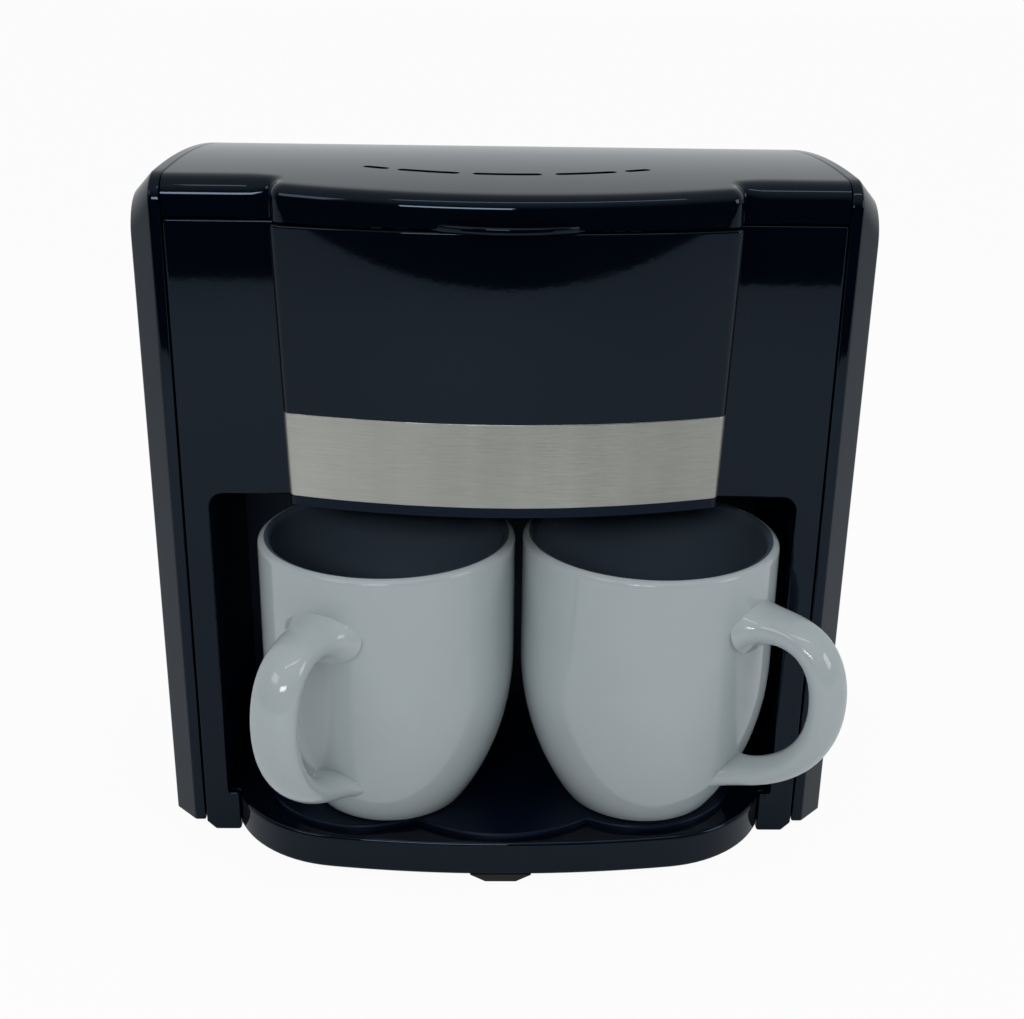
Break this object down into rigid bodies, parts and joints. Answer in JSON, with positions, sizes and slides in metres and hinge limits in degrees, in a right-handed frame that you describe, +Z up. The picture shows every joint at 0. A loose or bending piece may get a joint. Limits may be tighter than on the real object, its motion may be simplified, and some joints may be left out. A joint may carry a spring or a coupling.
{
  "type": "two-cup drip coffee maker",
  "caption": "Compact electric drip coffee maker with a cup niche, brew head with steel band, hinged lid, lift-out filter, water tank, heater and a pair of mugs.",
  "frame": {"origin": "on the table under the centre of the whole object's bounding box, with both mugs standing in the niche", "axes": "+X to the right as seen from the front, +Y to the back, +Z up"},
  "size_m": [0.222, 0.1776, 0.22],
  "materials": {
    "gloss_black": "high gloss moulded plastic",
    "satin_black": "satin moulded plastic",
    "band_steel": "horizontal brushed stainless sheet",
    "rubber": "moulded rubber",
    "steel": "plated steel",
    "grey_plastic": "moulded plastic",
    "filter_nylon": "fine nylon mesh",
    "silicone": "milky silicone hose",
    "cast_aluminium": "cast aluminium",
    "fuse_sleeve": "glass fibre sleeve",
    "lead_black": "wire insulation",
    "lead_white": "wire insulation",
    "rocker_red": "gloss plastic rocker",
    "mug_glaze": "gloss white glaze outside, charcoal glaze inside"
  },
  "bodies": {
    "casing": {"front_fascia": "gloss_black", "left_side_panel": "gloss_black", "right_side_panel": "gloss_black", "head_shell": "gloss_black", "base_pan": "gloss_black", "niche_liner": "satin_black", "cup_rest": "satin_black", "head_floor": "satin_black", "top_deck": "satin_black", "rear_cover": "satin_black", "bottom_plate": "satin_black", "switch_body": "satin_black", "terminal_block": "satin_black", "trim_band": "band_steel", "front_foot": "rubber", "rear_feet": "rubber", "cord_gland": "rubber", "base_screws": "steel", "rear_screws": "steel", "bracket_screws": "steel", "hinge_pins": "steel", "hose_clips": "steel", "heater_bracket": "steel", "heating_element": "steel", "filter_funnel": "grey_plastic", "twin_spout": "grey_plastic", "water_tank": "grey_plastic", "check_valve": "grey_plastic", "riser_nozzle": "grey_plastic", "inlet_hose": "silicone", "riser_hose": "silicone", "heater_block": "cast_aluminium", "thermostat": "cast_aluminium", "thermal_fuse": "fuse_sleeve", "switch_lead": "lead_black", "return_lead": "lead_black", "element_lead": "lead_white", "thermostat_lead": "lead_white", "fuse_lead": "lead_white"},
    "lid": {"lid": "gloss_black", "lid_liner": "satin_black", "water_channel": "grey_plastic", "spray_head": "grey_plastic"},
    "filter": {"filter_frame": "satin_black", "filter_mesh": "filter_nylon", "filter_handle": "satin_black"},
    "rocker": {"switch_rocker": "rocker_red"},
    "mug_left": {"mug_left": "mug_glaze"},
    "mug_right": {"mug_right": "mug_glaze"},
    "ball": {"check_ball": "steel"}
  },
  "joints": [
    {"name": "lid_hinge", "type": "hinge", "parent": "casing", "child": "lid", "pos_m": [0, 0.08259, 0.21029], "axis": [-1, 0, 0], "range_deg": [0, 100]},
    {"name": "filter_lift", "type": "slide", "parent": "casing", "child": "filter", "axis": [0, 0, 1], "range_m": [0, 0.07]},
    {"name": "rocker_tilt", "type": "hinge", "parent": "casing", "child": "rocker", "pos_m": [0.1053, 0.05259, 0.062], "axis": [0, -1, 0], "range_deg": [0, 16]},
    {"name": "mug_left_pull", "type": "slide", "parent": "casing", "child": "mug_left", "axis": [0, -0.9986, 0.0523], "range_m": [0, 0.12]},
    {"name": "mug_right_pull", "type": "slide", "parent": "casing", "child": "mug_right", "axis": [0, -0.9986, 0.0523], "range_m": [0, 0.12]},
    {"name": "ball_lift", "type": "slide", "parent": "casing", "child": "ball", "axis": [0, 0, 1], "range_m": [0, 0.0032]}
  ],
  "couplings": [
    {"joint": "filter_lift", "follows": "lid_hinge", "m_per_rad": 0.04}
  ]
}
